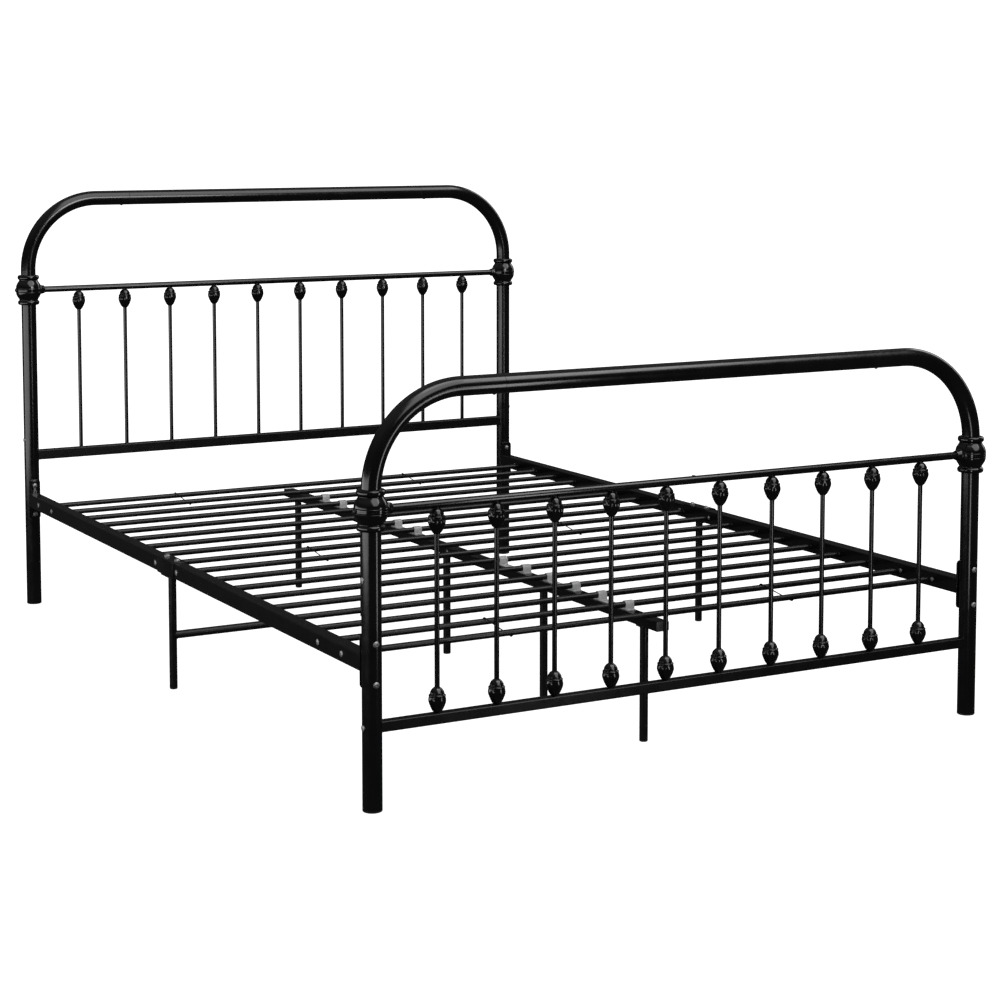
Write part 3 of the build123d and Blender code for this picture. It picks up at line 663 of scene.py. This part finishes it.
# ---- screws, bolts and nuts -----------------------------------------------------------------------
def fasteners(name, node, head_radius, head_height, recess, depth, shank_radius, axis_of, seat=None):
    """One piece for a node of like fasteners: a recessed head and a shank for each solid."""
    top = head(head_radius, head_height, recess, depth, seat)
    placed = []
    for low, high in islands(node):
        centre = middle((low, high))
        axis = Vector(axis_of(centre))
        span = abs((high - low).dot(axis)) / MM
        tip = centre + axis * span / 2 * MM
        matrix = towards(axis, tip - axis * head_height * MM)
        placed.append((top, matrix))
        placed.append((shank(shank_radius, span - head_height, 6.0), matrix))
    piece(name, SLOT_OF[node], placed, [node], 30.0)


def outward_x(centre):
    """Away from the bed's middle, along X."""
    return (1 if centre.x > 0 else -1, 0, 0)


def outward_y(centre):
    """Away from the bed's middle, along Y."""
    return (0, 1 if centre.y > 0 else -1, 0)


def nut_axis(centre):
    """Rail nuts face the middle of the bed, and the beam's nuts face right."""
    rail_reach = 0.5
    return (-1 if centre.x > rail_reach else 1, 0, 0)


def hardware():
    """Every screw, bolt and nut that can be seen."""
    hex_socket = hexagon(4.8)
    small_socket = hexagon(3.0)
    cross_slot = cross(2.9, 0.62)
    small_cross = cross(1.9, 0.42)
    fasteners("bolts_post", "post_bolts", 6.0, 3.4, hex_socket, 2.2, 3.9, outward_y, POST_R)
    fasteners("bolts_rail", "rail_bolts", 6.5, 2.6, small_socket, 1.6, 2.9, outward_x)
    fasteners("bolts_cover", "rail_cover_bolts", 6.5, 6.0, hex_socket, 2.6, 2.9, lambda c: UP)
    fasteners("bolts_beam", "beam_joint_bolts", 5.0, 2.6, small_socket, 1.6, 2.9, lambda c: (-1, 0, 0))
    fasteners("screws_post", "post_screws", 6.0, 2.0, cross_slot, 1.2, 2.9, outward_x, POST_R)
    fasteners("screws_footboard_rail", "footboard_rail_screws", 6.0, 2.0, cross_slot, 1.2, 2.9,
              outward_x, POST_R)
    fasteners("screws_clip", "clip_screws", 3.6, 2.2, small_cross, 1.2, 1.7, lambda c: UP)
    fasteners("screws_arch", "arch_joint_screws", 3.4, 2.0, small_cross, 1.1, 1.9, lambda c: -UP)
    fasteners("screws_leg_plates", "centre_leg_screws", 3.4, 2.0, small_cross, 1.1, 1.9, lambda c: -UP)
    for name, node, radius, height, bore, axis_of in (
            ("nuts_post", "post_bolt_nuts", 6.5, 5.5, 4.0, lambda c: [-v for v in outward_y(c)]),
            ("nuts_cap", "cap_nuts", 5.0, 3.6, 3.0, nut_axis)):
        shape = acorn_nut(radius, height, bore)
        placed = []
        for low, high in islands(node):
            centre = middle((low, high))
            axis = Vector(axis_of(centre))
            span = abs((high - low).dot(axis))
            placed.append((shape, towards(axis, centre - axis * span / 2)))
        piece(name, SLOT_OF[node], placed, [node], 25.0)


# ---- folded and cut plates -------------------------------------------------------------------------
def upright(x, y, z):
    """Turns a plate made in XY so that it stands in the XZ plane at a place."""
    return Matrix.Translation((x, y, z)) @ Matrix.Rotation(math.radians(90), 4, "X")


def joint_cover_outline(inner, outer, low, high, wall, bend):
    """The folded cover's section: along the top, round the bend and down the outer side."""
    side = 1 if outer > inner else -1
    skin = outer + side * wall
    points = [(inner, high), (inner, high + wall)]
    turn = arc((0, 0), bend, 90, 0)
    points += [(skin - side * bend + side * x, high + wall - bend + z) for x, z in turn]
    points += [(skin, low), (outer, low)]
    inner_bend = bend - wall
    turn = arc((0, 0), inner_bend, 0, 90, 4)
    points += [(outer - side * inner_bend + side * x, high - inner_bend + z) for x, z in turn]
    return points


def plates():
    """Joint covers, their saddles, the post brackets and the centre legs' plates."""
    wall = COVER_T * MM
    placed = []
    for low, high in islands("rail_joint_covers"):
        sign = 1 if middle((low, high)).x > 0 else -1
        inner = low.x if sign > 0 else high.x
        outer = high.x - wall if sign > 0 else low.x + wall
        rail_low, rail_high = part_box(("right" if sign > 0 else "left") + "_rail_head_half")
        outline = joint_cover_outline(inner, outer, rail_low.z, rail_high.z, wall, 3.6 * MM)
        fold = sheet_cut(outline, [], high.y - low.y, 0.35 * MM)
        placed.append((fold, upright(0, 0, 0)))
        skin = outer + sign * wall
        saddle_low = (min(inner, skin), -SADDLE_HALF * MM)
        saddle_high = (max(inner, skin), SADDLE_HALF * MM)
        saddle = sheet_cut(rounded_rectangle(saddle_low, saddle_high, 4 * MM), [], SADDLE_T * MM, 0.5 * MM)
        placed.append((saddle, Matrix.Translation((0, 0, low.z + SADDLE_T / 2 * MM))))
    piece("covers_rail_joint", SLOT_OF["rail_joint_covers"], placed, ["rail_joint_covers"], 30.0)
    tilt = Matrix.Rotation(math.radians(90), 4, "X")
    for end, direction in (("head", 1), ("foot", -1)):
        node = "rail_brackets_" + end
        bolt_heights = sorted({round(middle(box).z, 4) for box in islands("post_bolts")})
        placed = []
        for low, high in islands(node):
            centre = middle((low, high))
            outline = rounded_rectangle((low.x - centre.x, low.z - centre.z),
                                        (high.x - centre.x, high.z - centre.z), PLATE_CORNER * MM, 8)
            holes = [circle((0, z - centre.z), POST_BOLT_R * MM) for z in bolt_heights]
            plate = sheet_cut(outline, holes, PLATE_T * MM, 0.5 * MM)
            face = high.y if direction > 0 else low.y
            plate_y = face - direction * PLATE_T / 2 * MM
            placed.append((plate, Matrix.Translation((centre.x, plate_y, centre.z)) @ tilt))
            rail_low, rail_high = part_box("left_rail_" + end + "_half")
            half = Vector((13.3, 0, 15.3)) * MM
            rail_mid = (rail_low.z + rail_high.z) / 2
            tongue_length = high.y - low.y - PLATE_T * MM
            section = rounded_rectangle((-half.x, -half.z), (half.x, half.z), 2 * MM)
            inside = rounded_rectangle((wall - half.x, wall - half.z), (half.x - wall, half.z - wall),
                                       0.5 * MM)
            tongue = sheet_cut(section, [inside], tongue_length, 0.2 * MM)
            start = face - direction * (PLATE_T * MM + tongue_length / 2)
            placed.append((tongue, Matrix.Translation((centre.x, start, rail_mid)) @ tilt))
        piece("brackets_" + end, SLOT_OF[node], placed, [node], 30.0)
    placed = []
    for box, screw in zip(islands("centre_leg_plates"), islands("centre_leg_screws")):
        low, high = box
        centre = middle(box)
        hole = circle((0, middle(screw).y - centre.y), LEG_SCREW_R * MM)
        outline = rounded_rectangle((low.x - centre.x, low.y - centre.y),
                                    (high.x - centre.x, high.y - centre.y), 3 * MM)
        placed.append((sheet_cut(outline, [hole], high.z - low.z, 0.4 * MM), Matrix.Translation(centre)))
    piece("plates_centre_legs", SLOT_OF["centre_leg_plates"], placed, ["centre_leg_plates"], 30.0)


# ---- plastic clips over the slats ---------------------------------------------------------------------
def clips():
    """Grey double saddles: a strip on the beam that swells round two slats, with ribs."""
    slats = [middle(box) for node in ("slats_head", "slats_foot") for box in islands(node)]
    placed = []
    for low, high in islands("slat_clips"):
        centre = middle((low, high))
        inside = sorted(s.y for s in slats if low.y < s.y < high.y)
        slat_z = slats[0].z - low.z
        shell = high.z - slats[0].z
        strip = 2 * MM
        outline = [(low.y - centre.y, 0), (low.y - centre.y, strip)]
        for y in inside:
            local = y - centre.y
            flare = 3.0 * MM
            outline += [(local - shell - flare, strip), (local - shell - 0.8 * MM, strip + 1.2 * MM)]
            outline += [(local + shell * c, slat_z + shell * s) for c, s in arc((0, 0), 1.0, 180, 0, 14)]
            outline += [(local + shell + 0.8 * MM, strip + 1.2 * MM), (local + shell + flare, strip)]
        outline += [(high.y - centre.y, strip), (high.y - centre.y, 0)]
        holes = [circle((y - centre.y, slat_z), SLAT_R * MM) for y in inside]
        width = high.x - low.x
        body = sheet_cut(outline, holes, width, 0.7 * MM)
        stand = Matrix(((0, 0, 1, centre.x), (1, 0, 0, centre.y), (0, 1, 0, low.z), (0, 0, 0, 1)))
        placed.append((body, stand))
    piece("clips_slat", SLOT_OF["slat_clips"], placed, ["slat_clips"], 35.0)


# ---- weld beads ------------------------------------------------------------------------------------------
def ring(centre, axis, radius, steps=30):
    """A circle of points about an axis, in metres."""
    matrix = towards(axis, centre)
    return [tuple(matrix @ Vector((radius * math.cos(a), radius * math.sin(a), 0)))
            for a in [2 * math.pi * k / steps for k in range(steps)]]


def welds():
    """Beads where tubes meet plates, rails and posts."""
    beads = []
    for node in ("slats_head", "slats_foot"):
        for low, high in islands(node):
            centre = middle((low, high))
            for x in (low.x, high.x):
                inset = 0.4 * MM if x < 0 else -0.4 * MM
                path = ring((x + inset, centre.y, centre.z), (1, 0, 0), (high.z - low.z) / 2, 26)
                beads.append((bead(path, 1.15 * MM, len(beads)), STILL))
    piece("welds_slats", "slat_black", beads)

    beads = []
    spindle_half = SPINDLE_R * MM
    rail_low, rail_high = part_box("headboard_lower_rail")
    for low, high in islands("headboard_spindles"):
        centre = middle((low, high))
        path = ring((centre.x, centre.y, rail_high.z), (0, 0, 1), spindle_half, 24)
        beads.append((bead(path, 1.0 * MM, len(beads)), STILL))
    post_low, post_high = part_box("headboard_left_post")
    post_r = (post_high.x - post_low.x) / 2
    half = (rail_high.z - rail_low.z) / 2
    for sign, side in ((1, "left"), (-1, "right")):
        post = middle(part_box("headboard_" + side + "_post"))
        outline = rounded_rectangle((-half, -half), (half, half), 2 * MM, 3)
        dense = []
        for k, (a, b) in enumerate(outline):
            c, d = outline[(k + 1) % len(outline)]
            steps = max(1, round(math.hypot(c - a, d - b) / (1.6 * MM)))
            dense += [(a + (c - a) * s / steps, b + (d - b) * s / steps) for s in range(steps)]
        path = [(post.x + sign * math.sqrt(post_r ** 2 - y * y), post.y + y, rail_low.z + half + z)
                for y, z in dense]
        beads.append((bead(path, 1.5 * MM, len(beads)), STILL))
    for end in ("headboard", "footboard"):
        rod = middle(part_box(end + "_upper_rod"))
        for low, high in islands(end + "_spindles"):
            centre = middle((low, high))
            path = []
            for k in range(24):
                a = 2 * math.pi * k / 24
                x, y = spindle_half * math.cos(a), spindle_half * math.sin(a)
                drop = math.sqrt((ROD_R * MM) ** 2 - y * y)
                path.append((centre.x + x, centre.y + y, rod.z - drop))
            beads.append((bead(path, 0.7 * MM, len(beads)), STILL))
    piece("welds_boards", "black_powder_coat", beads)

    beads = []
    for node in ("centre_legs", "side_mid_legs"):
        for low, high in islands(node):
            centre = middle((low, high))
            path = ring((centre.x, centre.y, high.z), (0, 0, 1), (high.x - low.x) / 2, 30)
            beads.append((bead(path, 1.3 * MM, len(beads)), STILL))
    bar_low, bar_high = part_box("left_crossbar")
    bar = middle((bar_low, bar_high))
    leg = min((middle(box) for box in islands("side_mid_legs")), key=lambda c: c.x)
    bar_r = (bar_high.z - bar_low.z) / 2
    path = []
    for k in range(32):
        a = 2 * math.pi * k / 32
        y, z = bar_r * math.cos(a), bar_r * math.sin(a)
        path.append((leg.x + math.sqrt(max(bar_r ** 2 - y * y, 0)) + 0.3 * MM, bar.y + y, bar.z + z))
    beads.append((bead(path, 1.3 * MM, len(beads)), STILL))
    piece("welds_legs", "black_powder_coat", beads)


# ---- camera, floor and light ------------------------------------------------------------
def make_camera():
    """The viewing angle: from the foot corner on the left, a little above the headboard."""
    data = bpy.data.cameras.new("camera")
    data.lens = 81.5
    data.sensor_width = 36.0
    data.shift_y = -0.18
    camera = bpy.data.objects.new("camera", data)
    camera.location = (-2.4905, -4.7373, 1.2869)
    camera.rotation_euler = (math.radians(90 - 5.165), 0, math.radians(-28.954))
    bpy.context.scene.collection.objects.link(camera)
    bpy.context.scene.camera = camera


def make_floor():
    """A plain pale floor, far wider than the object."""
    material, shader = new_material("floor_white", Roughness=0.9)
    shader.inputs["Specular IOR Level"].default_value = 0.0
    paper = noise(material, 3.0, 3.0)
    material.node_tree.links.new(
        tint(material, paper, (0.80, 0.80, 0.80), (0.83, 0.83, 0.83)), shader.inputs["Base Color"])
    shader.inputs["Emission Color"].default_value = (1, 1, 1, 1)
    shader.inputs["Emission Strength"].default_value = 0.85
    reach = 40.0
    mesh = bpy.data.meshes.new("floor")
    mesh.from_pydata([(-reach, -reach, 0), (reach, -reach, 0), (reach, reach, 0), (-reach, reach, 0)],
                     [], [(0, 1, 2, 3)])
    mesh.materials.append(material)
    floor = bpy.data.objects.new("floor", mesh)
    bpy.context.scene.collection.objects.link(floor)
    floor.visible_glossy = False
    floor.visible_diffuse = False


def softbox(name, centre, facing, width, height, strength, spread=180.0):
    """A rectangular light for reflections: upright width by height, aimed along facing."""
    data = bpy.data.lights.new(name, "AREA")
    data.shape = "RECTANGLE"
    data.size = width
    data.size_y = height
    data.spread = math.radians(spread)
    data.energy = strength * width * height * math.pi
    light = bpy.data.objects.new(name, data)
    light.location = centre
    light.rotation_mode = "QUATERNION"
    light.rotation_quaternion = Vector(facing).to_track_quat("-Z", "Y")
    bpy.context.scene.collection.objects.link(light)
    light.visible_camera = False
    light.visible_diffuse = False
    return light


def make_lights():
    """Soft studio lights, seen in reflections only: low at the left and foot, high at the foot, and above."""
    softbox("left_bank", (-2.75, -0.1, 0.36), (1, 0, 0), 4.6, 0.70, 2.9)
    softbox("foot_strip", (0.14, -2.0, 0.36), (-0.15, 1, 0), 0.24, 0.62, 4.0, 150.0)
    softbox("foot_bank", (0.27, -1.45, 1.52), (-0.12, 1, -0.17), 1.14, 0.82, 1.1, 56.0)
    softbox("overhead", (0.40, -1.95, 2.6), (0, 0, -1), 2.3, 1.5, 0.5, 70.0)


def make_sky():
    """White to the camera, even for soft light, and dark with a bright front for gloss."""
    world = bpy.data.worlds.new("studio")
    bpy.context.scene.world = world
    world.use_nodes = True
    tree = world.node_tree
    tree.nodes.clear()
    output = tree.nodes.new("ShaderNodeOutputWorld")
    place = tree.nodes.new("ShaderNodeTexCoord")
    parts = tree.nodes.new("ShaderNodeSeparateXYZ")
    tree.links.new(place.outputs["Generated"], parts.inputs["Vector"])

    def maths(operation, a, b=None):
        node = tree.nodes.new("ShaderNodeMath")
        node.operation = operation
        for socket, value in zip(node.inputs, (a, b)):
            if value is None:
                continue
            if isinstance(value, (int, float)):
                socket.default_value = value
            else:
                tree.links.new(value, socket)
        return node.outputs[0]

    def fade(value, start, end):
        node = tree.nodes.new("ShaderNodeMapRange")
        node.interpolation_type = "SMOOTHSTEP"
        node.inputs["From Min"].default_value = start
        node.inputs["From Max"].default_value = end
        tree.links.new(value, node.inputs["Value"])
        return node.outputs["Result"]

    x = parts.outputs["X"]
    front = maths("MULTIPLY", parts.outputs["Y"], -1.0)
    z = parts.outputs["Z"]
    # The bright front: above the horizon, ahead of the bed, and narrow towards the horizon.
    raised = fade(maths("ARCTAN2", z, front), 0.30, 0.50)
    ahead = fade(maths("ARCTAN2", z, front), 1.50, 1.40)
    right_edge = fade(maths("SUBTRACT", maths("MULTIPLY", z, 0.86), x), -0.05, 0.05)
    left_edge = fade(maths("ADD", maths("MULTIPLY", z, 0.25), x), -0.05, 0.05)
    far_right = fade(x, 0.605, 0.56)
    sides = maths("MULTIPLY", maths("MULTIPLY", right_edge, left_edge), far_right)
    brighter = maths("ADD", fade(x, 0.45, 0.475), 1.0)
    bank = maths("MULTIPLY", maths("MULTIPLY", raised, ahead), maths("MULTIPLY", sides, brighter))
    # A second bank behind the headboard, kept to the right so that it draws no line on the rails.
    behind = fade(maths("ARCTAN2", z, parts.outputs["Y"]), 0.55, 0.75)
    not_over = fade(maths("ARCTAN2", z, parts.outputs["Y"]), 1.30, 1.15)
    off_axis = fade(x, 0.64, 0.72)
    rear = maths("MULTIPLY", maths("MULTIPLY", behind, not_over), off_axis)
    ceiling = maths("MULTIPLY", fade(z, 0.2, 0.9), 0.16)
    banks = maths("ADD", maths("MULTIPLY", bank, 2.6), maths("MULTIPLY", rear, 2.4))
    gloss = maths("ADD", banks, maths("ADD", ceiling, 0.035))

    paths = tree.nodes.new("ShaderNodeLightPath")
    mix_gloss = tree.nodes.new("ShaderNodeMix")
    tree.links.new(paths.outputs["Is Glossy Ray"], mix_gloss.inputs["Factor"])
    mix_gloss.inputs["A"].default_value = 0.6
    tree.links.new(gloss, mix_gloss.inputs["B"])
    mix_camera = tree.nodes.new("ShaderNodeMix")
    tree.links.new(paths.outputs["Is Camera Ray"], mix_camera.inputs["Factor"])
    tree.links.new(mix_gloss.outputs["Result"], mix_camera.inputs["A"])
    mix_camera.inputs["B"].default_value = 1.2
    background = tree.nodes.new("ShaderNodeBackground")
    background.inputs["Color"].default_value = (1, 1, 1, 1)
    tree.links.new(mix_camera.outputs["Result"], background.inputs["Strength"])
    tree.links.new(background.outputs["Background"], output.inputs["Surface"])


dress_cad_nodes()
castings()
feet()
plugs()
hardware()
plates()
clips()
welds()
make_camera()
make_floor()
make_lights()
make_sky()
bpy.context.scene.view_settings.view_transform = "Standard"
